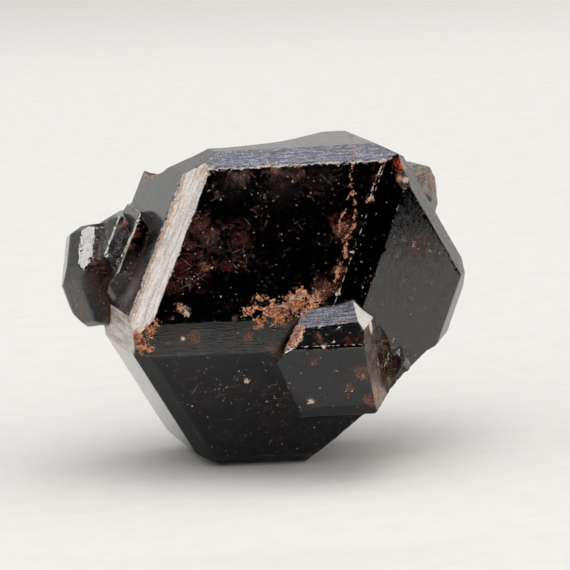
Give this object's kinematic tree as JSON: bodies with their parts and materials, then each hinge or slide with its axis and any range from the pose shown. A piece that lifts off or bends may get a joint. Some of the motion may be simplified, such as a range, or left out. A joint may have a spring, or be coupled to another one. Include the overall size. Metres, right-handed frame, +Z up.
{
  "type": "garnet crystal",
  "caption": "Dark red-brown garnet crystal with flat rhomb faces, bevelled edges and smaller crystals grown into its front and left side; stands on a flat face.",
  "frame": {"origin": "middle of the bounding box, on the flat underside that the crystal stands on", "axes": "+Z up; -Y is the front, with the large dark rhomb face and the small front crystal; -X is the side of the left crystal cluster"},
  "size_m": [0.044, 0.039, 0.034],
  "materials": {
    "garnet": "glassy, very dark red-brown, with orange-brown iron stains and dusty, scratched faces"
  },
  "bodies": {
    "root": {"garnet_crystal": "garnet"}
  },
  "joints": []
}
